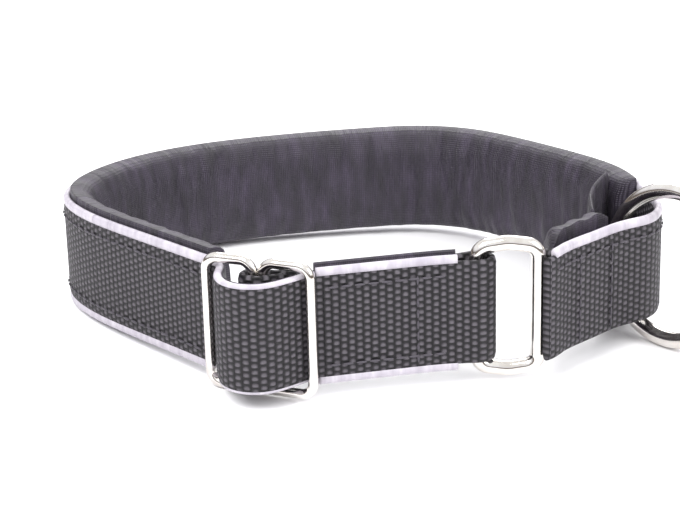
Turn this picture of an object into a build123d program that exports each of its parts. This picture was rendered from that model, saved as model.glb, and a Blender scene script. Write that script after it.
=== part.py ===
from build123d import *
import math
import os

# Padded martingale dog collar, built lying on its lower edge. Lengths are in millimetres.
# The strap is a wall that stands on the lay plane. Its plan follows the outer face of the webbing,
# anticlockwise, and every layer is a ribbon at its own depth inside that face.

# ---------------------------------------------------------------- driving dimensions
web_width = 25.0
web_thickness = 1.8
layer_gap = 0.15            # between two sewn layers
lining_thickness = 0.6
foam_thickness = 5.2
end_foam_thickness = 4.0    # the padded piece beside the oval ring
foam_inset = 0.5            # foam edge below the webbing edge
lining_overhang = 1.2       # rolled lining edge beyond the webbing edge

piping_thickness = 2.6
piping_height = 1.3
piping_gap = 0.05
loose_piping_height = 0.4   # squashed where the strap goes through the slider

thread_thickness = 0.3
thread_width = 0.5
thread_gap = 0.05
seam_inset = 2.9            # lengthwise seams, from the webbing edge
cross_seam_margin = 1.6

slider_wire = 2.4
slider_bar_spacing = 25.8
slider_inner_height = 28.2
slider_corner_radius = 3.0
slider_bend_radius = 3.0
slider_bar_clearance = 0.35
slider_wire_gap = 0.1       # between the two wires of the middle bar
slider_angle = -23.0
slider_drop = 0.25          # the slider hangs a little lower than the strap
slider_lead = 2.4           # left bar past the end of the padded strap
bar_loop_clearance = 0.3
flap_reach = 7.5            # sewn-back end of the loop round the middle bar

hump_height = 11.0          # the strap bulges this far out of the slider
hump_lead_in = 1.2
foot_lead = 0.3             # where the strap leaves the right bar
foot_stand_off = 2.3

oval_wire = 3.6
oval_bar_spacing = 14.2
oval_shoulder_height = 28.8    # between the rounded shoulders, along the bars
oval_crown_height = 30.8       # over the bowed ends
oval_shoulder_radius = 3.2
oval_crown_radius = 9.0
oval_clearance = 0.8        # the ring rocks in its webbing loops
oval_centre = (34.0, -49.5)

leash_wire = 4.0
leash_inner_diameter = 32.6
leash_centre = (75.1, -28.6)
leash_rise = 1.5            # ring centre above the webbing centre
leash_heading = -48.0       # plan direction that the ring points out to
leash_lean = 5.0

# The strap stands on a slightly sloping plane, because the rings lift one side off the ground.
lay_height = 3.75
lay_slope_x = 0.025
lay_slope_y = -0.0244

# Plan of the webbing's outer face, from the oval ring round the neck to the slider.
neck_points = [
    (47.2, -48.6), (55.3, -39.8), (63.5, -32.0), (70.2, -27.4), (73.8, -20.5), (73.4, -6.0),
    (69.3, 11.0), (59.5, 26.5), (46.0, 42.5), (33.0, 54.0), (18.0, 59.0), (2.0, 57.8),
    (-14.0, 54.6), (-30.0, 50.2), (-46.0, 43.6), (-60.0, 33.8), (-70.5, 20.5), (-75.0, 3.5),
    (-70.0, -10.0), (-56.0, -27.7), (-40.5, -44.6), (-35.3, -50.2),
]
neck_start_heading = 24.0
neck_end_heading = -46.0
front_start_heading = 14.0
front_points = [(8.7, -56.7), (20.0, -54.4)]

# Distances along the neck route at which its layers start and end.
end_pad_start = 2.6
end_pad_end = 27.0
ring_tail_start = 6.5       # the sewn-back webbing meets the outer layer here
ring_tail_end = 12.0
pad_start = 64.0            # past the bare bight that holds the leash ring
foam_short = 8.0            # foam stops this far before the slider
first_end_seam = 13.0
second_end_seam = 25.0

# Distances along the front route, between the slider and the oval ring.
front_trim_gap = 4.5        # piping and lining stop this far before the ring's bar
front_converge = 13.0       # where the two layers part to go round the bar

slider_travel = 10.0

# ---------------------------------------------------------------- derived sizes
lay = Plane(origin=(0, 0, lay_height), x_dir=(1, 0, lay_slope_x), z_dir=(-lay_slope_x, -lay_slope_y, 1))
web_top = web_width
web_middle = web_width / 2
foam_depth = web_thickness + layer_gap
pad_lining_depth = foam_depth + foam_thickness + layer_gap
end_foam_depth = foam_depth + web_thickness + layer_gap
end_lining_depth = end_foam_depth + end_foam_thickness + layer_gap
thin_lining_depth = web_thickness + layer_gap
return_depth = thin_lining_depth + lining_thickness + layer_gap
oval_inner = oval_wire / 2 + oval_clearance
oval_outer = oval_inner + web_thickness
leash_radius = (leash_inner_diameter + leash_wire) / 2


def heading_vector(degrees):
    return Vector(math.cos(math.radians(degrees)), math.sin(math.radians(degrees)), 0)


def face_point(route, distance, depth):
    """Point at a depth inside the outer face, a distance along a route."""
    share = min(max(distance / route.length, 0), 1)
    inward = (route % share).rotate(Axis.Z, 90)
    return (route @ share) + inward * depth


def ribbon(route, start, end, near, far, step=2.0):
    """Face of a layer in plan, between two depths. It goes inside a BuildSketch."""
    count = max(4, round((end - start) / step))
    distances = [start + (end - start) * index / count for index in range(count + 1)]
    with BuildLine() as outline:
        outer = Spline(*[face_point(route, distance, near) for distance in distances])
        inner = Spline(*[face_point(route, distance, far) for distance in distances])
        Line(outer @ 0, inner @ 0)
        Line(outer @ 1, inner @ 1)
    make_face(outline.edges())


def bent_round(centre, inner, outer, start, sweep):
    """Webbing bent round a bar, in plan."""
    with BuildLine() as outline:
        near = CenterArc(centre, inner, start, sweep)
        far = CenterArc(centre, outer, start, sweep)
        Line(near @ 0, far @ 0)
        Line(near @ 1, far @ 1)
    make_face(outline.edges())


def leg(*corners):
    """Straight stretch of webbing in plan, from its four corners."""
    with BuildLine() as outline:
        Polyline(*corners, close=True)
    make_face(outline.edges())


# ---------------------------------------------------------------- routes in plan
left_bar_centre = Vector(oval_centre[0] - oval_bar_spacing / 2, oval_centre[1], 0)
right_bar_centre = Vector(oval_centre[0] + oval_bar_spacing / 2, oval_centre[1], 0)
neck_start = right_bar_centre + heading_vector(neck_start_heading - 90) * oval_outer

with BuildLine() as neck_line:
    Spline(
        neck_start, *neck_points,
        tangents=[heading_vector(neck_start_heading), heading_vector(neck_end_heading)],
    )
neck = neck_line.edges()[0]
neck_length = neck.length
neck_end = neck @ 1

# The slider's own plan axes: along the strap, and out from the neck.
slider_along = heading_vector(slider_angle)
slider_out = heading_vector(slider_angle - 90)
bar_stand_off = slider_wire / 2 + slider_bar_clearance
slider_left_bar = (
    neck_end
    + heading_vector(neck_end_heading) * slider_lead
    + heading_vector(neck_end_heading - 90) * bar_stand_off
)
half_span = slider_bar_spacing / 2
slider_middle = slider_left_bar + slider_along * half_span


def slider_point(along, out):
    """Plan point from the slider's middle."""
    return slider_middle + slider_along * along + slider_out * out


foot = slider_point(half_span + foot_lead, -foot_stand_off)
with BuildLine() as hump_line:
    Spline(
        neck_end,
        neck_end + heading_vector(neck_end_heading) * hump_lead_in,
        slider_point(-half_span + 1.0, -bar_stand_off),
        slider_point(-half_span + 2.3, 0.3),
        slider_point(-half_span + 3.6, 0.36 * hump_height),
        slider_point(-half_span + 7.7, 0.84 * hump_height),
        slider_point(0, hump_height),
        slider_point(half_span - 7.6, 0.85 * hump_height),
        slider_point(half_span - 3.1, 0.29 * hump_height),
        slider_point(half_span - 1.7, 0.3),
        foot - heading_vector(front_start_heading) * hump_lead_in,
        foot,
    )
hump = hump_line.edges()[0]

front_end = left_bar_centre + Vector(0, -oval_outer, 0)
with BuildLine() as front_line:
    Spline(
        foot, *front_points, front_end,
        tangents=[heading_vector(front_start_heading), Vector(1, 0, 0)],
    )
front = front_line.edges()[0]
front_length = front.length
front_trim_end = front_length - front_trim_gap
parting = front_length - front_converge

# ---------------------------------------------------------------- neck strap
# Webbing: a wall round the neck, folded round the oval ring's right bar and sewn back on itself.
loop_top = right_bar_centre + Vector(0, oval_inner, 0)
loop_top_far = right_bar_centre + Vector(0, oval_outer, 0)
with BuildPart() as neck_webbing:
    with BuildSketch(lay):
        ribbon(neck, 0, neck_length, 0, web_thickness)
        bent_round(right_bar_centre, oval_inner, oval_outer, neck_start_heading - 90, -180 - neck_start_heading)
        leg(
            loop_top, loop_top_far,
            face_point(neck, ring_tail_start, foam_depth + web_thickness),
            face_point(neck, ring_tail_start, foam_depth),
        )
        ribbon(neck, ring_tail_start, ring_tail_end, foam_depth, foam_depth + web_thickness)
    extrude(amount=web_width)

# Foam strip of the padded stretch, and the satin lining over it.
with BuildPart() as neck_foam:
    with BuildSketch(lay.offset(foam_inset)):
        ribbon(neck, pad_start, neck_length - foam_short, foam_depth, foam_depth + foam_thickness)
    extrude(amount=web_width - 2 * foam_inset)

with BuildPart() as neck_lining:
    with BuildSketch(lay.offset(-lining_overhang)):
        ribbon(
            neck, pad_start, neck_length - foam_short,
            pad_lining_depth, pad_lining_depth + lining_thickness,
        )
    extrude(amount=web_width + 2 * lining_overhang)

# Reflective piping, sewn in along both edges.
piping_depth = piping_thickness
with BuildPart() as neck_top_piping:
    with BuildSketch(lay.offset(web_top + piping_gap)):
        ribbon(neck, end_pad_start, neck_length, 0, piping_depth)
    extrude(amount=piping_height)

with BuildPart() as neck_bottom_piping:
    with BuildSketch(lay.offset(-piping_gap - piping_height)):
        ribbon(neck, pad_start, neck_length, 0, piping_depth)
    extrude(amount=piping_height)

# Padded piece beside the oval ring, which covers the sewn-back webbing.
with BuildPart() as end_foam:
    with BuildSketch(lay.offset(foam_inset)):
        ribbon(
            neck, ring_tail_start + 1, end_pad_end,
            end_foam_depth, end_foam_depth + end_foam_thickness,
        )
    extrude(amount=web_width - 2 * foam_inset)

with BuildPart() as end_lining:
    with BuildSketch(lay.offset(-foam_inset)):
        ribbon(
            neck, ring_tail_start, end_pad_end,
            end_lining_depth, end_lining_depth + lining_thickness,
        )
    extrude(amount=web_width + 2 * foam_inset)

# Slack lining behind the captured side of the leash ring, joining the two padded pieces.
bight_depth = end_lining_depth + lining_thickness / 2
bight_start = face_point(neck, end_pad_end + layer_gap, bight_depth)
bight_end = face_point(neck, pad_start - layer_gap, pad_lining_depth + lining_thickness / 2)
leash_pin = (
    Vector(leash_centre[0], leash_centre[1], 0) - heading_vector(leash_heading) * leash_radius
)
bight_middle = leash_pin - heading_vector(leash_heading) * (leash_wire / 2 + 5.0)
with BuildLine() as bight_line:
    Spline(
        bight_start, bight_middle, bight_end,
        tangents=[neck % (end_pad_end / neck_length), neck % (pad_start / neck_length)],
    )
bight = bight_line.edges()[0]
with BuildPart() as bight_lining:
    with BuildSketch(lay.offset(-foam_inset)):
        ribbon(bight, 0, bight.length, -lining_thickness / 2, lining_thickness / 2)
    extrude(amount=web_width + 2 * foam_inset)

# ---------------------------------------------------------------- front strap
# Webbing from the slider, round the oval ring's left bar and back as a bare inner layer.
ring_side = left_bar_centre + Vector(0, oval_inner, 0)
ring_side_far = left_bar_centre + Vector(0, oval_outer, 0)
with BuildPart() as front_webbing:
    with BuildSketch(lay):
        ribbon(front, 0, front_length, 0, web_thickness)
        bent_round(left_bar_centre, oval_inner, oval_outer, -90, 180)
        leg(
            ring_side, ring_side_far,
            face_point(front, parting, return_depth + web_thickness),
            face_point(front, parting, return_depth),
        )
        ribbon(front, layer_gap, parting, return_depth, return_depth + web_thickness)
    extrude(amount=web_width)

with BuildPart() as front_lining:
    with BuildSketch(lay.offset(-foam_inset)):
        ribbon(front, layer_gap, parting, thin_lining_depth, thin_lining_depth + lining_thickness)
    extrude(amount=web_width + 2 * foam_inset)

with BuildPart() as front_top_piping:
    with BuildSketch(lay.offset(web_top + foam_inset + piping_gap)):
        ribbon(front, 2 * layer_gap, front_trim_end, 0, piping_depth)
    extrude(amount=piping_height - foam_inset)

with BuildPart() as front_bottom_piping:
    with BuildSketch(lay.offset(-foam_inset - piping_gap)):
        ribbon(front, 2 * layer_gap, front_trim_end, 0, piping_depth)
    extrude(amount=-(piping_height - foam_inset))

# ---------------------------------------------------------------- slider
slider_height = slider_inner_height + slider_wire
wire_offset = (slider_wire + slider_wire_gap) / 2
bar_foot = -slider_height / 2 + slider_wire + slider_wire_gap
slider_origin = lay.from_local_coords(slider_middle + Vector(0, 0, web_middle - slider_drop))
slider_x = lay.from_local_coords(slider_middle + slider_along) - lay.from_local_coords(slider_middle)
slider_plane = Plane(origin=slider_origin, x_dir=slider_x, z_dir=slider_x.cross(lay.z_dir))

# One bent wire: its two ends come down side by side as the middle bar.
with BuildPart() as slider_frame:
    with BuildLine(slider_plane) as slider_path:
        FilletPolyline(
            (-wire_offset, bar_foot),
            (-wire_offset, slider_height / 2),
            (-half_span, slider_height / 2),
            (-half_span, -slider_height / 2),
            (half_span, -slider_height / 2),
            (half_span, slider_height / 2),
            (wire_offset, slider_height / 2),
            (wire_offset, bar_foot),
            radius=[
                slider_bend_radius, slider_corner_radius, slider_corner_radius,
                slider_corner_radius, slider_corner_radius, slider_bend_radius,
            ],
        )
    with BuildSketch(Plane(origin=slider_path.line @ 0, z_dir=slider_path.line % 0)):
        Circle(slider_wire / 2)
    sweep(path=slider_path.line)

# The strap bulges out over the middle bar.
with BuildPart() as hump_webbing:
    with BuildSketch(lay):
        ribbon(hump, layer_gap, hump.length, 0, web_thickness)
    extrude(amount=web_width)

with BuildPart() as hump_lining:
    with BuildSketch(lay.offset(-foam_inset)):
        ribbon(
            hump, slider_lead, hump.length - slider_lead,
            thin_lining_depth, thin_lining_depth + lining_thickness,
        )
    extrude(amount=web_width + 2 * foam_inset)

with BuildPart() as hump_top_piping:
    with BuildSketch(lay.offset(web_top + piping_gap)):
        ribbon(hump, layer_gap, hump.length, 0, web_thickness)
    extrude(amount=loose_piping_height)

with BuildPart() as hump_bottom_piping:
    with BuildSketch(lay.offset(-piping_gap)):
        ribbon(hump, layer_gap, hump.length, 0, web_thickness)
    extrude(amount=-loose_piping_height)

# The end of the inner layer goes round the middle bar and is sewn back on itself.
wrap_inner = slider_wire / 2 + bar_loop_clearance
wrap_outer = wrap_inner + web_thickness
tail_near = slider_point(wire_offset, -wrap_inner)
tail_far = slider_point(wire_offset, -wrap_outer)
tail_end_near = face_point(front, 0, return_depth)
tail_end_far = face_point(front, 0, return_depth + web_thickness)
tail_line = tail_end_near - tail_near
flap_seat = tail_near + tail_line * (flap_reach / tail_line.length)
flap_near = flap_seat + tail_line.rotate(Axis.Z, -90).normalized() * layer_gap
flap_far = flap_seat + tail_line.rotate(Axis.Z, -90).normalized() * (layer_gap + web_thickness)
bar_place = Location(slider_middle, (0, 0, slider_angle))
with BuildPart() as bar_loop:
    with BuildSketch(lay):
        with Locations(bar_place):
            SlotCenterToCenter(2 * wire_offset, 2 * wrap_outer)
        leg(tail_near, tail_far, tail_end_far, tail_end_near)
        leg(
            slider_point(wire_offset, wrap_outer), slider_point(wire_offset, wrap_inner),
            flap_near, flap_far,
        )
        with Locations(bar_place):
            SlotCenterToCenter(2 * wire_offset, 2 * wrap_inner, mode=Mode.SUBTRACT)
    extrude(amount=web_width)

# ---------------------------------------------------------------- rings
oval_origin = lay.from_local_coords(Vector(oval_centre[0], oval_centre[1], web_middle))
oval_plane = Plane(origin=oval_origin, x_dir=lay.x_dir, z_dir=-lay.y_dir)
half_gap = oval_bar_spacing / 2
shoulder = oval_shoulder_height / 2
crown = oval_crown_height / 2
with BuildPart() as oval_ring:
    with BuildLine(oval_plane) as oval_path:
        FilletPolyline(
            (half_gap, shoulder), (0, crown), (-half_gap, shoulder),
            (-half_gap, -shoulder), (0, -crown), (half_gap, -shoulder),
            radius=[
                oval_shoulder_radius, oval_crown_radius, oval_shoulder_radius,
                oval_shoulder_radius, oval_crown_radius, oval_shoulder_radius,
            ],
            close=True,
        )
    oval_wire_line = oval_path.wires()[0]
    with BuildSketch(Plane(origin=oval_wire_line @ 0, z_dir=oval_wire_line % 0)):
        Circle(oval_wire / 2)
    sweep(path=oval_wire_line)

# Leash ring, held by the bare bight of webbing that passes through it.
leash_out = heading_vector(leash_heading)
leash_lean_dir = heading_vector(leash_heading + 90)
leash_up = (
    Vector(0, 0, math.cos(math.radians(leash_lean)))
    + leash_lean_dir * math.sin(math.radians(leash_lean))
)
leash_x = lay.from_local_coords(leash_out) - lay.origin
leash_z = lay.from_local_coords(leash_out.cross(leash_up)) - lay.origin
leash_origin = lay.from_local_coords(Vector(leash_centre[0], leash_centre[1], web_middle + leash_rise))
with BuildPart(Plane(origin=leash_origin, x_dir=leash_x, z_dir=leash_z)) as leash_ring:
    Torus(leash_radius, leash_wire / 2)

# ---------------------------------------------------------------- sewing thread
cross_near = -2 * (thread_gap + thread_thickness)    # cross seams lie over the lengthwise ones
thread_rows = {"bottom": seam_inset, "top": web_top - seam_inset - thread_width}


def thread_line(route, start, end, height):
    """Lengthwise lockstitch line on the outer face."""
    with BuildPart() as line:
        with BuildSketch(lay.offset(height)):
            ribbon(route, start, end, -thread_gap - thread_thickness, -thread_gap)
        extrude(amount=thread_width)
    return line


def cross_seams(route, distances):
    """Seams across the webbing, one solid each."""
    with BuildPart() as seams:
        for distance in distances:
            with BuildSketch(lay.offset(cross_seam_margin)):
                ribbon(route, distance, distance + thread_width, cross_near, cross_near + thread_thickness)
        extrude(amount=web_width - 2 * cross_seam_margin)
    return seams


neck_top_thread = thread_line(neck, end_pad_start, neck_length - slider_lead, thread_rows["top"])
neck_bottom_thread = thread_line(neck, pad_start, neck_length - slider_lead, thread_rows["bottom"])
front_top_thread = thread_line(front, slider_lead, front_trim_end, thread_rows["top"])
front_bottom_thread = thread_line(front, slider_lead, front_trim_end, thread_rows["bottom"])
end_seam_threads = cross_seams(neck, [first_end_seam, second_end_seam])
front_seam_threads = cross_seams(front, [parting - 2 * thread_width])

# The seam that closes the loop round the middle bar, on the face of the sewn-back end.
flap_line = (slider_point(wire_offset, wrap_outer) - flap_far).normalized()
flap_normal = flap_line.rotate(Axis.Z, 90)
seam_near = flap_far + flap_line + flap_normal * thread_gap
with BuildPart() as bar_loop_thread:
    with BuildSketch(lay.offset(cross_seam_margin)):
        leg(
            seam_near, seam_near + flap_line * thread_width,
            seam_near + flap_line * thread_width + flap_normal * thread_thickness,
            seam_near + flap_normal * thread_thickness,
        )
    extrude(amount=web_width - 2 * cross_seam_margin)

# ---------------------------------------------------------------- export
pieces = {
    "neck_webbing": neck_webbing,
    "neck_foam": neck_foam,
    "neck_lining": neck_lining,
    "neck_top_piping": neck_top_piping,
    "neck_bottom_piping": neck_bottom_piping,
    "neck_top_thread": neck_top_thread,
    "neck_bottom_thread": neck_bottom_thread,
    "end_foam": end_foam,
    "end_lining": end_lining,
    "end_seam_threads": end_seam_threads,
    "bight_lining": bight_lining,
    "front_webbing": front_webbing,
    "front_lining": front_lining,
    "front_top_piping": front_top_piping,
    "front_bottom_piping": front_bottom_piping,
    "front_top_thread": front_top_thread,
    "front_bottom_thread": front_bottom_thread,
    "front_seam_thread": front_seam_threads,
    "slider_frame": slider_frame,
    "hump_webbing": hump_webbing,
    "hump_lining": hump_lining,
    "hump_top_piping": hump_top_piping,
    "hump_bottom_piping": hump_bottom_piping,
    "bar_loop": bar_loop,
    "bar_loop_thread": bar_loop_thread,
    "oval_ring": oval_ring,
    "leash_ring": leash_ring,
}
os.makedirs("parts", exist_ok=True)
for name, piece in pieces.items():
    piece.part.label = name
    export_step(piece.part, f"parts/{name}.step")
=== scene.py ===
import math

import bpy
import numpy as np
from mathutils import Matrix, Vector


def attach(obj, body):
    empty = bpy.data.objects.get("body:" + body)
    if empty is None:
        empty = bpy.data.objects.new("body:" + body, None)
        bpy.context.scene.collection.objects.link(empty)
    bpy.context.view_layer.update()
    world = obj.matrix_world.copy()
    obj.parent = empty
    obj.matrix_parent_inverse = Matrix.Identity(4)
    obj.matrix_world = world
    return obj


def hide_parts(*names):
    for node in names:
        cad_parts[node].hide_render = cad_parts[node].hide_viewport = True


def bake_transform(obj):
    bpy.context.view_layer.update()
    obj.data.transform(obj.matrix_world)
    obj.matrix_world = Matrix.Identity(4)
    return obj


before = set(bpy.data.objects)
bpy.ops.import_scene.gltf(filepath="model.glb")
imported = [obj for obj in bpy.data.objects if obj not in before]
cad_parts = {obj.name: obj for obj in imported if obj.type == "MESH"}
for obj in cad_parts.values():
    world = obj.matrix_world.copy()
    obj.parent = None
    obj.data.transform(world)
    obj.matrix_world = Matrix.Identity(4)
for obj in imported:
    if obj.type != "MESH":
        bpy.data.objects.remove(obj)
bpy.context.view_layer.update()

# ------------------------------------------------------------ neck webbing
# Coarse woven webbing, a wall that stands round the neck on its lower edge. Its end is folded round the
# oval ring's right bar and sewn back on itself. The last stretch before the slider is a piece of its own,
# which is left without a body. Lengths are in millimetres on the plane that the strap stands on.
LAY_HEIGHT = 3.75
LAY_SLOPE_X = 0.025
LAY_SLOPE_Y = -0.0244
METRES = 0.001
PATH_STEP = 0.5
SPLINE_SAMPLES = 40
ARC_SAMPLES = 28

WEB_WIDTH = 25.0
WEB_THICK = 1.8
LAYER_GAP = 0.15
BENEATH = WEB_THICK + LAYER_GAP     # depth at which the next layer starts
SLAB_ROWS = 14
SLAB_CORNER = 0.06                  # share of the width that each edge is rounded over
EDGE_THICKNESS = 0.15               # share of the thickness that is left at the very edge

OVAL_CENTRE = np.array([34.0, -49.5])
OVAL_HALF = 7.1
FOLD_INNER = 2.6
FOLD_OUTER = FOLD_INNER + WEB_THICK
FOLD_MIDDLE = (FOLD_INNER + FOLD_OUTER) / 2
NECK_START_HEADING = 24.0
NECK_END_HEADING = -46.0
TAIL_START = 6.5
TAIL_END = 12.0
FOLD_EXIT = 0.8
END_PART = 288.0                    # distance along the neck where the last stretch, a piece of its own, starts
NECK_POINTS = [
    (47.2, -48.6), (55.3, -39.8), (63.5, -32.0), (70.2, -27.4), (73.8, -20.5), (73.4, -6.0),
    (69.3, 11.0), (59.5, 26.5), (46.0, 42.5), (33.0, 54.0), (18.0, 59.0), (2.0, 57.8),
    (-14.0, 54.6), (-30.0, 50.2), (-46.0, 43.6), (-60.0, 33.8), (-70.5, 20.5), (-75.0, 3.5),
    (-70.0, -10.0), (-56.0, -27.7), (-40.5, -44.6), (-35.3, -50.2),
]

lay_z = Vector((-LAY_SLOPE_X, -LAY_SLOPE_Y, 1.0)).normalized()
along_slope = Vector((1, 0, LAY_SLOPE_X))
lay_x = (along_slope - lay_z * along_slope.dot(lay_z)).normalized()
lay_axes = np.array([lay_x, lay_z.cross(lay_x), lay_z])


def to_world(points):
    """Millimetres on the plane to metres in the row frame."""
    return (np.asarray(points) @ lay_axes + np.array([0, 0, LAY_HEIGHT])) * METRES


def heading(degrees):
    return np.array([math.cos(math.radians(degrees)), math.sin(math.radians(degrees))])


def distances(path):
    """Distance of each point of a path from its start."""
    return np.concatenate([[0], np.cumsum(np.linalg.norm(np.diff(path, axis=0), axis=1))])


def points_at(path, places):
    run = distances(path)
    return np.stack([np.interp(places, run, path[:, k]) for k in (0, 1)], axis=1)


def even(path, step=PATH_STEP):
    length = distances(path)[-1]
    return points_at(path, np.linspace(0, length, max(3, int(length / step)) + 1))


def part_of(path, start, end, step=PATH_STEP):
    count = max(3, int((end - start) / step)) + 1
    return points_at(path, np.linspace(start, end, count))


def normals(path):
    """Unit vectors to the left of the path, which is towards the neck."""
    tangent = np.gradient(path, axis=0)
    tangent /= np.maximum(np.linalg.norm(tangent, axis=1), 1e-9)[:, None]
    return np.stack([-tangent[:, 1], tangent[:, 0]], axis=1)


def offset(path, depth):
    return path + normals(path) * depth


def arc(centre, radius, start, sweep):
    turn = np.radians(np.linspace(start, start + sweep, ARC_SAMPLES))
    return np.array(centre) + radius * np.stack([np.cos(turn), np.sin(turn)], axis=1)


def smooth_path(points, start, end):
    """Cubic spline through points, with its end directions given or free, at an even step."""
    points = np.array(points, float)
    chords = np.linalg.norm(np.diff(points, axis=0), axis=1)
    count = len(points)
    matrix = np.zeros((count, count))
    right = np.zeros((count, 2))
    for i in range(1, count - 1):
        before, after = chords[i - 1], chords[i]
        matrix[i, i - 1:i + 2] = 1 / before, 2 / before + 2 / after, 1 / after
        right[i] = 3 * (
            (points[i] - points[i - 1]) / before ** 2 + (points[i + 1] - points[i]) / after ** 2
        )
    for row, near, slope, chord, delta in (
        (0, 1, start, chords[0], points[1] - points[0]),
        (count - 1, count - 2, end, chords[-1], points[-1] - points[-2]),
    ):
        matrix[row, row] = 1 if slope is not None else 2 / chord
        if slope is None:
            matrix[row, near] = 1 / chord
            right[row] = 3 * delta / chord ** 2
        else:
            right[row] = slope
    slopes = np.linalg.solve(matrix, right)
    fine = []
    for i in range(count - 1):
        t = np.linspace(0, 1, SPLINE_SAMPLES, endpoint=i == count - 2)[:, None]
        fine.append(
            (2 * t ** 3 - 3 * t ** 2 + 1) * points[i]
            + (t ** 3 - 2 * t ** 2 + t) * chords[i] * slopes[i]
            + (3 * t ** 2 - 2 * t ** 3) * points[i + 1]
            + (t ** 3 - t ** 2) * chords[i] * slopes[i + 1]
        )
    return even(np.concatenate(fine))


class Num:
    """A shader number that takes Python's operators. Each one adds a Math node."""

    def __init__(self, tree, socket):
        self.tree = tree
        self.socket = socket

    def math(self, operation, *others):
        node = self.tree.nodes.new("ShaderNodeMath")
        node.operation = operation
        for index, value in enumerate((self,) + others):
            if isinstance(value, Num):
                self.tree.links.new(value.socket, node.inputs[index])
            else:
                node.inputs[index].default_value = value
        return Num(self.tree, node.outputs[0])

    def __add__(self, other):
        return self.math("ADD", other)

    def __mul__(self, other):
        return self.math("MULTIPLY", other)

    def __truediv__(self, other):
        return self.math("DIVIDE", other)

    __radd__ = __add__
    __rmul__ = __mul__

    def floor(self):
        return self.math("FLOOR")

    def fract(self):
        return self.math("FRACT")

    def hill(self):
        """0 at both ends of the unit interval and 1 in its middle."""
        return (self * math.pi).math("SINE")

    def power(self, value):
        return self.math("POWER", value)


class Nodes:
    """The node tree of a finish or of the sky."""

    def __init__(self, tree):
        self.tree = tree

    def add(self, kind, settings, inputs, output=0):
        """A node from its type, its settings, and the values or links of its sockets."""
        node = self.tree.nodes.new(kind)
        for name, value in settings.items():
            if name == "stops":
                self.set_stops(node.color_ramp.elements, value)
            else:
                setattr(node, name, value)
        for name, value in inputs.items():
            if isinstance(value, Num):
                self.tree.links.new(value.socket, node.inputs[name])
            else:
                node.inputs[name].default_value = value
        return Num(self.tree, node.outputs[output])

    def set_stops(self, elements, stops):
        for element, (place, colour) in ((elements[0], stops[0]), (elements[1], stops[-1])):
            element.position = place
            element.color = (*colour, 1)
        for place, colour in stops[1:-1]:
            elements.new(place).color = (*colour, 1)

    def link(self, value, socket):
        self.tree.links.new(value.socket, socket)


class Finish(Nodes):
    """A material, with the distance along the strap and the height across it in millimetres."""

    def __init__(self, name, roughness, metallic=0.0):
        self.name = name
        self.material = bpy.data.materials.new(name)
        self.material.use_nodes = True
        super().__init__(self.material.node_tree)
        self.shader = self.tree.nodes["Principled BSDF"]
        self.shader.inputs["Roughness"].default_value = roughness
        self.shader.inputs["Metallic"].default_value = metallic

    def place(self):
        unwrapped = self.add("ShaderNodeUVMap", {"uv_map": "strap"}, {})
        parts = self.add("ShaderNodeSeparateXYZ", {}, {"Vector": unwrapped})
        outputs = parts.socket.node.outputs
        return Num(self.tree, outputs[0]), Num(self.tree, outputs[1])

    def noise(self, u, v, scale, detail):
        joined = self.add("ShaderNodeCombineXYZ", {}, {"X": u, "Y": v})
        return self.add("ShaderNodeTexNoise", {}, {"Vector": joined, "Scale": scale, "Detail": detail})

    def colour(self, value, stops):
        ramp = self.add("ShaderNodeValToRGB", {"stops": stops}, {"Fac": value})
        self.link(ramp, self.shader.inputs["Base Color"])

    def bump(self, value, depth):
        raised = self.add("ShaderNodeBump", {}, {"Height": value, "Distance": depth})
        self.link(raised, self.shader.inputs["Normal"])


# Staggered columns of plump yarns, with fine fibres along each.
YARN_COLUMN = 1.8
YARN_PITCH = 1.55
WEBBING_HIGHLIGHT_AND_SHADE_STOPS = [
    (0.15, (0.002, 0.0015, 0.0025)), (0.5, (0.008, 0.0065, 0.010)), (0.82, (0.10, 0.09, 0.105)),
]
webbing = Finish("webbing", roughness=0.62)
u, v = webbing.place()
column = u / YARN_COLUMN
row = v / YARN_PITCH + (column.floor() * 0.5).fract()
wander = webbing.noise(u, v, 0.9, 3.0)
yarn = column.fract().hill().power(0.55) * row.fract().power(0.6).hill().power(0.8)
fibres = webbing.noise(u * 2.0, v * 9.0, 1.3, 4.0)
raised_yarn = yarn * 0.8 + fibres * 0.2
# Painted highlight on the yarn tops and painted shade in the gaps between them, both from the yarn height.
webbing.colour(raised_yarn * (wander * 0.5 + 0.72), WEBBING_HIGHLIGHT_AND_SHADE_STOPS)
webbing.bump(raised_yarn, 0.0007)


def finish_mesh(name, points, faces, place, finish):
    """Piece from its points, faces and place on the strap."""
    name = name.replace(" ", "_")
    mesh = bpy.data.meshes.new(name)
    mesh.from_pydata([tuple(p) for p in points], [], faces)
    layer = mesh.uv_layers.new(name="strap")
    corners = np.zeros(len(mesh.loops), np.int32)
    mesh.loops.foreach_get("vertex_index", corners)
    layer.data.foreach_set("uv", place[corners].astype(np.float32).reshape(-1))
    mesh.materials.append(finish.material)
    mesh.polygons.foreach_set("use_smooth", [True] * len(mesh.polygons))
    mesh.update()
    obj = bpy.data.objects.new(name, mesh)
    bpy.context.scene.collection.objects.link(obj)
    return obj


def section(rows, corner):
    """Closed loop of (share across the thickness, share up the height) for a rounded slab."""
    ups = 0.5 - 0.5 * np.cos(np.linspace(0, math.pi, rows))
    points = []
    for across, up in [(-0.5, up) for up in ups] + [(0.5, up) for up in ups[::-1]]:
        near = min(up, 1 - up)
        pull = 1.0
        if near < corner:
            curve = math.sqrt(max(0.0, 1 - (1 - near / corner) ** 2))
            pull = curve * (1 - EDGE_THICKNESS) + EDGE_THICKNESS
        points.append((across * pull, up))
    return np.array(points)


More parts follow.
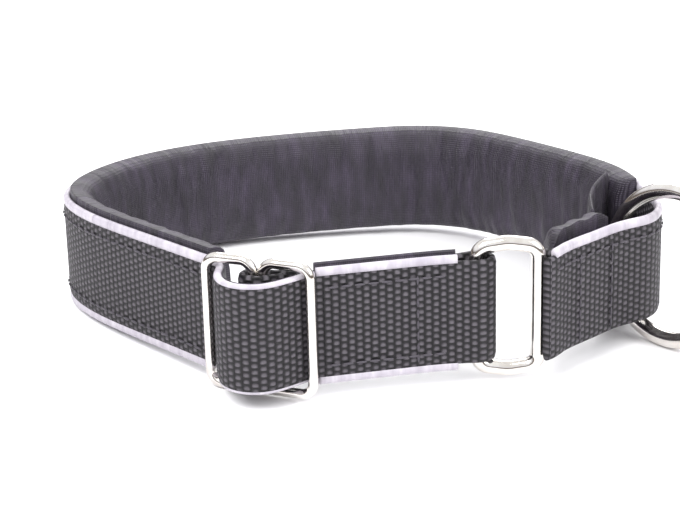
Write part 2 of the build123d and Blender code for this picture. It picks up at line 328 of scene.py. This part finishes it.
def strip(name, path, low, high, thick, finish, rows=SLAB_ROWS, corner=SLAB_CORNER, start=0.0, shape=None):
    """A layer swept along a plan path. high may be a function of the distance along the strap, and
    shape(distance, up, across) moves the section sideways where it isn't a plain slab."""
    loop = section(rows, corner)
    run = start + distances(path)
    count, ring = len(path), len(loop)
    across = np.repeat(loop[:, 0][None, :] * thick, count, axis=0)
    if shape is not None:
        across = across + shape(run[:, None], loop[:, 1][None, :], loop[:, 0][None, :])
    plan = path[:, None, :] + normals(path)[:, None, :] * across[:, :, None]
    if callable(high):
        high = high(run)[:, None]
    heights = np.broadcast_to(low + (high - low) * loop[:, 1][None, :], (count, ring))
    points = to_world(np.concatenate([plan, heights[:, :, None]], axis=2).reshape(-1, 3))
    faces = []
    for i in range(count - 1):
        for j in range(ring):
            k = (j + 1) % ring
            faces.append((i * ring + j, i * ring + k, (i + 1) * ring + k, (i + 1) * ring + j))
    faces.append(tuple(range(ring))[::-1])
    faces.append(tuple((count - 1) * ring + j for j in range(ring)))
    place = np.stack([np.repeat(run, ring), heights.reshape(-1)], axis=1)
    return finish_mesh(name, points, faces, place, finish)


right_bar = OVAL_CENTRE + np.array([OVAL_HALF, 0])
neck_start = right_bar + heading(NECK_START_HEADING - 90) * FOLD_OUTER
neck = smooth_path([neck_start] + NECK_POINTS, heading(NECK_START_HEADING), heading(NECK_END_HEADING))
neck_end = neck[-1]
NECK_LENGTH = distances(neck)[-1]

web_line = offset(neck, WEB_THICK / 2)
tail = part_of(offset(neck, BENEATH + WEB_THICK / 2), TAIL_START, TAIL_END)[::-1]
fold = arc(right_bar, FOLD_MIDDLE, 90, NECK_START_HEADING - 180)
neck_web_path = even(np.concatenate([tail, fold, part_of(web_line, FOLD_EXIT, END_PART)]))
neck_web = strip("neck webbing", neck_web_path, 0, WEB_WIDTH, WEB_THICK, webbing)
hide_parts("neck_webbing")
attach(neck_web, "strap")

end_web = strip(
    "strap end webbing", part_of(web_line, END_PART, NECK_LENGTH), 0, WEB_WIDTH, WEB_THICK, webbing,
    start=distances(neck_web_path)[-1],
)
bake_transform(end_web)

# ------------------------------------------------------------ neck padding
# A foam strip in a satin lining, sewn along both edges of the webbing. It swells between the seams, rolls
# over the top edge, and is creased across the inside of the curve.
PAD_START = 64.0                    # past the bare bight that holds the leash ring
PAD_END = NECK_LENGTH - 7.0
PAD_LOW = -0.9
PAD_HIGH = 27.9
PAD_DEPTH = 6.3
PAD_CREASE = 0.3
PAD_STEP = 0.6
PAD_ROWS = 20
PAD_CORNER = 0.12
SKIN = 0.2                          # least thickness of a padded section
SEAM_SHARES = (0.12, 0.88)          # heights at which the seams draw the lining in
SEAM_SHARE_WIDTH = 0.035
END_TAPER = 4.5
LINING_WEAVE = 1.9                  # threads to a millimetre
LINING_SHADE_AND_SHEEN_STOPS = [
    (0.25, (0.006, 0.004, 0.008)), (0.5, (0.016, 0.0105, 0.023)), (0.75, (0.056, 0.041, 0.074)),
]

lining = Finish("lining", roughness=0.48)
u, v = lining.place()
creases = lining.noise(u * 1.0, v * 0.28, 0.32, 3.0)
fine_weave = (u * LINING_WEAVE).fract().hill() * (v * LINING_WEAVE).fract().hill()
# Painted shade in the creases and painted sheen bands on the folds between them, from the crease height,
# over a fine weave pattern.
lining.colour(creases * 0.75 + fine_weave * 0.25, LINING_SHADE_AND_SHEEN_STOPS)
lining.bump(creases * 0.85 + fine_weave * 0.06, 0.0016)
lining.shader.inputs["Sheen Weight"].default_value = 0.08


def puff(depth, crease_depth, seed=0.0, begin=None, finish=None):
    """Padded section: flat against the webbing, full and round-edged towards the neck, with creases.
    It thins towards the ends that are given."""
    def shape(s, up, across):
        ends = np.ones_like(s)
        if begin is not None:
            ends = ends * np.clip((s - begin + 0.3) / END_TAPER, 0, 1) ** 0.45
        if finish is not None:
            ends = ends * np.clip((finish + 0.3 - s) / END_TAPER, 0, 1) ** 0.45
        inner = np.clip(across * 20, 0, 1)
        full = (1 - np.abs(2 * np.clip(up, 0, 1) - 1) ** 5) ** 0.4
        groove = sum(np.exp(-((up - share) / SEAM_SHARE_WIDTH) ** 2) for share in SEAM_SHARES)
        crease = (
            np.sin(s * 0.71 + seed + 1.5 * np.sin(up * 4 + s * 0.13))
            + 0.6 * np.sin(s * 1.37 + 2.1 * np.sin(s * 0.21) - up * 3)
        )
        return inner * ends * (full * depth + crease_depth * crease * full - 0.5 * groove * full + SKIN)
    return shape


pad_line = offset(neck, BENEATH)
neck_pad = strip(
    "neck padding", part_of(pad_line, PAD_START, END_PART, PAD_STEP), PAD_LOW, PAD_HIGH, SKIN, lining,
    rows=PAD_ROWS, corner=PAD_CORNER, start=PAD_START, shape=puff(PAD_DEPTH, PAD_CREASE, begin=PAD_START),
)
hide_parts("neck_foam", "neck_lining")
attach(neck_pad, "strap")
end_pad = strip(
    "strap end padding", part_of(pad_line, END_PART, PAD_END, PAD_STEP), PAD_LOW, PAD_HIGH, SKIN, lining,
    rows=PAD_ROWS, corner=PAD_CORNER, start=END_PART, shape=puff(PAD_DEPTH, PAD_CREASE, finish=PAD_END),
)
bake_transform(end_pad)

# ------------------------------------------------------------ neck piping
# Pale reflective piping, sewn in between webbing and lining along both edges. The right run, from the
# oval ring to the leash ring, has it on its top edge only.
PIPING_DEPTH = 0.9                  # of its middle, inside the webbing's outer face
PIPING_THICK = 1.9
PIPING_ROWS = 9
PIPING_ROUND = 0.5
TOP_PIPING = (24.2, 26.6)
BOTTOM_PIPING = (-1.35, 1.0)
TOP_TRIM_START = 2.6
PIPING_SHADE_AND_HIGHLIGHT_STOPS = [(0.2, (0.34, 0.31, 0.37)), (0.8, (0.60, 0.57, 0.62))]

piping = Finish("piping", roughness=0.42)
u, v = piping.place()
puckers = piping.noise(u, v * 0.2, 0.45, 2.0)
# Painted shade in the pucker hollows and painted highlight on their tops, from the pucker height.
piping.colour(puckers, PIPING_SHADE_AND_HIGHLIGHT_STOPS)
piping.bump(puckers, 0.0006)


def tube(name, path, heights, thick=PIPING_THICK, start=0.0):
    return strip(
        name, path, *heights, thick, piping, rows=PIPING_ROWS, corner=PIPING_ROUND, start=start,
    )


pipe_line = offset(neck, PIPING_DEPTH)
for edge, begin, heights in (("top", TOP_TRIM_START, TOP_PIPING), ("bottom", PAD_START, BOTTOM_PIPING)):
    edge_tube = tube(f"neck {edge} piping", part_of(pipe_line, begin, END_PART), heights, start=begin)
    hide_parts(f"neck_{edge}_piping")
    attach(edge_tube, "strap")
for edge, heights in (("top", TOP_PIPING), ("bottom", BOTTOM_PIPING)):
    edge_tube = tube(
        f"strap end {edge} piping", part_of(pipe_line, END_PART, NECK_LENGTH), heights, start=END_PART,
    )
    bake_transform(edge_tube)

# ------------------------------------------------------------ neck seams
# Lockstitch lines near both edges of the webbing, in dark thread. Each stitch is a small rounded bead
# that lies on the outer face.
STITCH_PITCH = 3.1
STITCH_LENGTH = 2.3
STITCH_SECTIONS = 7
STITCH_SIDES = 6
STITCH_PROUD = 0.2                  # of a stitch's middle, outside the webbing
STITCH_THICK = 0.24
STITCH_WIDE = 0.3
TOP_SEAM = 21.85
BOTTOM_SEAM = 3.15
SEAM_STOP = 2.4                     # before the slider
THREAD_STOPS = [(0.0, (0.012, 0.011, 0.014)), (1.0, (0.09, 0.08, 0.10))]

thread = Finish("thread", roughness=0.5)
u, v = thread.place()
thread.colour(((u + v) * 3.0).fract().hill(), THREAD_STOPS)


def bead_swell(share):
    return math.sin(math.pi * min(max(share, 0.06), 0.94)) ** 0.5


def bead_turns():
    return np.linspace(0, 2 * math.pi, STITCH_SIDES, endpoint=False)


def bead_faces(base):
    faces = []
    for i in range(STITCH_SECTIONS - 1):
        for j in range(STITCH_SIDES):
            a = base + i * STITCH_SIDES + j
            b = base + i * STITCH_SIDES + (j + 1) % STITCH_SIDES
            faces.append((a, b, b + STITCH_SIDES, a + STITCH_SIDES))
    return faces


def stitches(name, path, height, start=0.0):
    """A seam along the strap, one bead to a stitch."""
    run = distances(path)
    side = normals(path)
    points, faces, place = [], [], []
    for begin in np.arange(0.4, run[-1] - STITCH_LENGTH, STITCH_PITCH):
        base = len(points)
        for share in np.linspace(0, 1, STITCH_SECTIONS):
            s = begin + STITCH_LENGTH * share
            swell = bead_swell(share)
            centre = np.array([np.interp(s, run, path[:, k]) for k in (0, 1)])
            away = np.array([np.interp(s, run, side[:, k]) for k in (0, 1)])
            for turn in bead_turns():
                plan = centre + away * (-STITCH_PROUD + STITCH_THICK * swell * math.cos(turn))
                level = height + STITCH_WIDE * swell * math.sin(turn)
                points.append((plan[0], plan[1], level))
                place.append((start + s, level))
        faces += bead_faces(base)
    return finish_mesh(name, to_world(np.array(points)), faces, np.array(place), thread)


for edge, begin, level in (("top", TOP_TRIM_START, TOP_SEAM), ("bottom", PAD_START, BOTTOM_SEAM)):
    seam = stitches(f"neck {edge} seam", part_of(neck, begin, END_PART), level, start=begin)
    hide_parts(f"neck_{edge}_thread")
    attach(seam, "strap")
    seam = stitches(f"strap end {edge} seam", part_of(neck, END_PART, NECK_LENGTH - SEAM_STOP), level)
    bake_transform(seam)

# ------------------------------------------------------------ padded piece beside the oval ring
# A short padded piece in the same lining, which covers the sewn-back end of the webbing. Two seams
# across the webbing hold it, and its top edge rises in a soft lump.
END_PIECE_END = 27.0
END_PIECE_LOW = -0.2
END_PIECE_ROWS = 18
END_PIECE_CORNER = 0.14
CROSS_SEAMS = (13.0, 25.0)
CROSS_SEAM_LOW = 1.6
CROSS_SEAM_HIGH = 23.6
CROSS_STITCH_PITCH = 2.7
CROSS_STITCH_LENGTH = 2.0


def rising(low, high, begin, finish):
    """Top edge that rises from low at its ends to high between them."""
    def top(s):
        near = np.clip(np.minimum(s - begin, finish - s) / 5.0, 0, 1)
        return low + (high - low) * np.sin(near * math.pi / 2) + 0.25 * np.sin(s * 0.9)
    return top


end_piece = strip(
    "end padding", part_of(offset(neck, BENEATH + WEB_THICK + LAYER_GAP), TAIL_START, END_PIECE_END),
    END_PIECE_LOW, rising(25.6, 28.8, TAIL_START, 29.0), SKIN, lining, rows=END_PIECE_ROWS,
    corner=END_PIECE_CORNER, start=TAIL_START, shape=puff(5.4, 0.55, seed=2.0, begin=TAIL_START),
)
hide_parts("end_foam", "end_lining")
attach(end_piece, "strap")


def cross_seam(name, path, at):
    """A seam across the webbing, one bead to a stitch."""
    centre = part_of(path, at, at + 0.6)[0]
    side = normals(path)[int(at / PATH_STEP)]
    tangent = np.array([side[1], -side[0]])
    points, faces, place = [], [], []
    for begin in np.arange(CROSS_SEAM_LOW, CROSS_SEAM_HIGH - 2.0, CROSS_STITCH_PITCH):
        base = len(points)
        for share in np.linspace(0, 1, STITCH_SECTIONS):
            swell = bead_swell(share)
            level = begin + CROSS_STITCH_LENGTH * share
            for turn in bead_turns():
                plan = centre - side * (STITCH_PROUD + STITCH_THICK * swell * math.cos(turn))
                plan = plan + tangent * STITCH_WIDE * swell * math.sin(turn)
                points.append((*plan, level))
                place.append((at + turn * 0.1, level))
        faces += bead_faces(base)
    return finish_mesh(name, to_world(np.array(points)), faces, np.array(place), thread)


for index, at in enumerate(CROSS_SEAMS):
    seam = cross_seam(f"end cross seam {index + 1}", neck, at)
    if index == 0:
        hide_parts("end_seam_threads")
    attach(seam, "strap")

# ------------------------------------------------------------ bight lining
# Slack lining that joins the two padded pieces behind the captured side of the leash ring, where the
# webbing runs bare through the ring.
LEASH_CENTRE = np.array([75.1, -28.6])
LEASH_HEADING = -48.0
LEASH_RADIUS = 18.3
BEHIND_RING = 7.0
CLOTH_THICK = 0.6

pin = LEASH_CENTRE - heading(LEASH_HEADING) * LEASH_RADIUS
bight = smooth_path(
    [
        part_of(offset(neck, 8.35), 26.5, 27.5)[1],
        pin - heading(LEASH_HEADING) * BEHIND_RING,
        part_of(offset(neck, 7.6), 63.5, 64.5)[1],
    ],
    None, None,
)


def slack(s, up, across):
    return across * CLOTH_THICK + 0.35 * np.sin(s * 0.8 + up * 2) * np.sin(np.pi * up)


slack_piece = strip(
    "bight lining", bight, -0.4, 28.4, CLOTH_THICK, lining, rows=16, start=END_PIECE_END, shape=slack,
)
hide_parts("bight_lining")
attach(slack_piece, "strap")

# ------------------------------------------------------------ front strap
# The run from the slider to the oval ring: webbing outside, folded round the ring's left bar and back as a
# bare inner layer, with lining between and piping on both edges.
SLIDER_ANGLE = -23.0
HALF_SPAN = 12.9                    # from the slider's middle to either outer bar
BAR_STAND_OFF = 1.55
SLIDER_LEAD = 2.4
FOOT_LEAD = 0.3
FOOT_STAND_OFF = 2.3
FRONT_HEADING = 14.0
INNER_LAYER = 2.7                   # depth at which the returning webbing starts
INNER_START = 0.15
RING_TRIM = 4.5                     # piping and lining stop this far before the ring
PARTING_TRIM = 13.0
LINING_DEPTH = 2.4
LINING_THICK = 0.9

slider_along = heading(SLIDER_ANGLE)
slider_out = heading(SLIDER_ANGLE - 90)
slider_middle = (
    neck_end + heading(NECK_END_HEADING) * SLIDER_LEAD
    + heading(NECK_END_HEADING - 90) * BAR_STAND_OFF + slider_along * HALF_SPAN
)


def slider_point(a, o):
    """Plan point from the slider's middle: along the strap, and out from the neck."""
    return slider_middle + slider_along * a + slider_out * o


foot = slider_point(HALF_SPAN + FOOT_LEAD, -FOOT_STAND_OFF)
left_bar = OVAL_CENTRE - np.array([OVAL_HALF, 0])
front_end = left_bar + np.array([0, -FOLD_OUTER])
front = smooth_path(
    [foot, (8.7, -56.7), (20.0, -54.4), front_end], heading(FRONT_HEADING), np.array([1.0, 0]),
)
FRONT_LENGTH = distances(front)[-1]
TRIM_END = FRONT_LENGTH - RING_TRIM
parting = FRONT_LENGTH - PARTING_TRIM

front_web_path = even(np.concatenate([
    part_of(offset(front, WEB_THICK / 2), 0, FRONT_LENGTH - 0.4),
    arc(left_bar, FOLD_MIDDLE, -88, 178),
    part_of(offset(front, INNER_LAYER + WEB_THICK / 2), INNER_START, parting)[::-1],
]))
front_trim = part_of(offset(front, PIPING_DEPTH), 0.3, TRIM_END)
front_seam = part_of(front, SEAM_STOP, TRIM_END)
front_pieces = {
    "front_webbing": strip("front webbing", front_web_path, 0, WEB_WIDTH, WEB_THICK, webbing),
    "front_lining": strip(
        "front lining", part_of(offset(front, LINING_DEPTH), INNER_START, TRIM_END), PAD_LOW, 27.3,
        LINING_THICK, lining, rows=12,
    ),
    "front_top_piping": tube("front top piping", front_trim, (24.4, 26.5)),
    "front_bottom_piping": tube("front bottom piping", front_trim, (-1.5, 0.6)),
    "front_top_thread": stitches("front top seam", front_seam, TOP_SEAM),
    "front_bottom_thread": stitches("front bottom seam", front_seam, BOTTOM_SEAM),
    "front_seam_thread": cross_seam("front cross seam", front, parting - 1.0),
}
for node, piece in front_pieces.items():
    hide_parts(node)
    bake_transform(piece)

# ------------------------------------------------------------ bulge of strap over the slider
# The strap comes up through the slider, bulges out over its middle bar and goes down again. Its piping
# is squashed there, and the whole bulge moves with the slider.
HUMP = 11.0

hump = smooth_path(
    [
        neck_end, neck_end + heading(NECK_END_HEADING) * 1.2,
        slider_point(-HALF_SPAN + 1.0, -BAR_STAND_OFF), slider_point(-HALF_SPAN + 2.3, 0.3),
        slider_point(-HALF_SPAN + 3.6, 0.36 * HUMP), slider_point(-HALF_SPAN + 7.7, 0.84 * HUMP),
        slider_point(0, HUMP), slider_point(HALF_SPAN - 7.6, 0.85 * HUMP),
        slider_point(HALF_SPAN - 3.1, 0.29 * HUMP), slider_point(HALF_SPAN - 1.7, 0.3),
        foot - heading(FRONT_HEADING) * 1.2, foot,
    ],
    None, None,
)
hump_length = distances(hump)[-1]
hump_pieces = {
    "hump_webbing": strip(
        "bulge webbing", offset(hump, WEB_THICK / 2), 0, WEB_WIDTH, WEB_THICK, webbing, start=NECK_LENGTH,
    ),
    "hump_lining": strip(
        "bulge lining", part_of(offset(hump, 2.25), SLIDER_LEAD, hump_length - SLIDER_LEAD), -0.4, 25.4,
        CLOTH_THICK, lining, rows=12,
    ),
    "hump_top_piping": tube("bulge top piping", offset(hump, 1.2), (24.2, 25.5)),
    "hump_bottom_piping": tube("bulge bottom piping", offset(hump, 1.2), (-0.5, 0.8)),
}
for node, piece in hump_pieces.items():
    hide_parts(node)
    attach(piece, "slider")

# ------------------------------------------------------------ loop round the middle bar
# The end of the strap's inner layer goes round the slider's double middle bar and is sewn back on
# itself, which fixes the slider to the strap.
BAR_HALF = 1.25                     # from the middle to either wire of the bar
WRAP_RADIUS = 1.5 + WEB_THICK / 2
FLAP_SHARE = 0.45
FLAP_LIFT = 2.1

loop_start = part_of(offset(front, INNER_LAYER + WEB_THICK / 2), 0, 1)[0]
loop_near = slider_point(BAR_HALF, -WRAP_RADIUS)
loop_turn = [
    slider_point(-BAR_HALF + WRAP_RADIUS * math.cos(angle), WRAP_RADIUS * math.sin(angle))
    for angle in np.linspace(-1.57, -4.71, 20)
]
flap = loop_near + (loop_start - loop_near) * FLAP_SHARE + slider_out * FLAP_LIFT
loop_path = even(
    np.array([loop_start, loop_near] + loop_turn + [slider_point(BAR_HALF, WRAP_RADIUS), flap]),
)
bar_wrap = strip("bar loop", loop_path, 0, WEB_WIDTH, WEB_THICK, webbing)
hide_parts("bar_loop", "bar_loop_thread")
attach(bar_wrap, "slider")

# ------------------------------------------------------------ metal
# The slider, the oval ring and the leash ring are bent from round wire and nickel plated. They keep
# their solid shapes, shaded smooth.
NICKEL_STOPS = [(0.3, (0.66, 0.62, 0.58)), (0.7, (0.80, 0.78, 0.75))]
SMUDGE_SCALE = 260.0

nickel = Finish("nickel", roughness=0.14, metallic=1.0)
metal_place = nickel.add("ShaderNodeTexCoord", {}, {}, output="Object")
smudge = nickel.add("ShaderNodeTexNoise", {}, {"Vector": metal_place, "Scale": SMUDGE_SCALE})
nickel.colour(smudge, NICKEL_STOPS)
nickel.link(smudge * 0.10 + 0.08, nickel.shader.inputs["Roughness"])

for name in ("slider_frame", "oval_ring", "leash_ring"):
    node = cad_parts[name]
    node.data.materials.clear()
    node.data.materials.append(nickel.material)
    node.data.polygons.foreach_set("use_smooth", [True] * len(node.data.polygons))

# ------------------------------------------------------------ floor, light and camera
# A plain pale floor under soft studio light. The sky is white overhead, with a darker warm band low
# down for the metal to reflect.
SKY_STOPS = [
    (0.02, (0.30, 0.26, 0.23)), (0.16, (0.10, 0.08, 0.07)), (0.34, (0.95, 0.95, 1)), (0.62, (1, 1, 1)),
]
LIGHTS = [
    ("key", (-0.35, -0.45, 0.75), 0.5, 7.0),
    ("fill", (0.6, -0.3, 0.5), 0.5, 3.5),
    ("back", (0.1, 0.7, 0.6), 0.6, 4.0),
]
LIT_POINT = Vector((0, 0, 0.02))

bpy.ops.mesh.primitive_plane_add(size=8, location=(0, 0, 0))
floor = bpy.context.object
floor.name = "floor"
pale = Finish("floor", roughness=0.7)
pale.shader.inputs["Base Color"].default_value = (0.93, 0.925, 0.94, 1)
floor.data.materials.append(pale.material)

for name, place, size, power in LIGHTS:
    light = bpy.data.lights.new(name, "AREA")
    light.size = size
    light.energy = power
    lamp = bpy.data.objects.new(name, light)
    lamp.location = place
    lamp.rotation_euler = (LIT_POINT - Vector(place)).to_track_quat("-Z", "Y").to_euler()
    bpy.context.scene.collection.objects.link(lamp)

world = bpy.data.worlds.new("world")
world.use_nodes = True
bpy.context.scene.world = world
sky = Nodes(world.node_tree)
direction = sky.add("ShaderNodeTexCoord", {}, {}, output="Generated")
level = sky.add("ShaderNodeSeparateXYZ", {}, {"Vector": direction}, output="Z")
background = world.node_tree.nodes["Background"]
sky.link(sky.add("ShaderNodeValToRGB", {"stops": SKY_STOPS}, {"Fac": level}), background.inputs[0])
background.inputs[1].default_value = 1.15
bpy.context.scene.view_settings.view_transform = "Standard"

camera_data = bpy.data.cameras.new("camera")
camera_data.lens = 99.27
camera_data.sensor_width = 36.0
camera_data.clip_start = 0.01
camera = bpy.data.objects.new("camera", camera_data)
camera.location = (-0.005, -0.451, 0.177)
camera.rotation_euler = (math.radians(70), 0, 0)
bpy.context.scene.collection.objects.link(camera)
bpy.context.scene.camera = camera
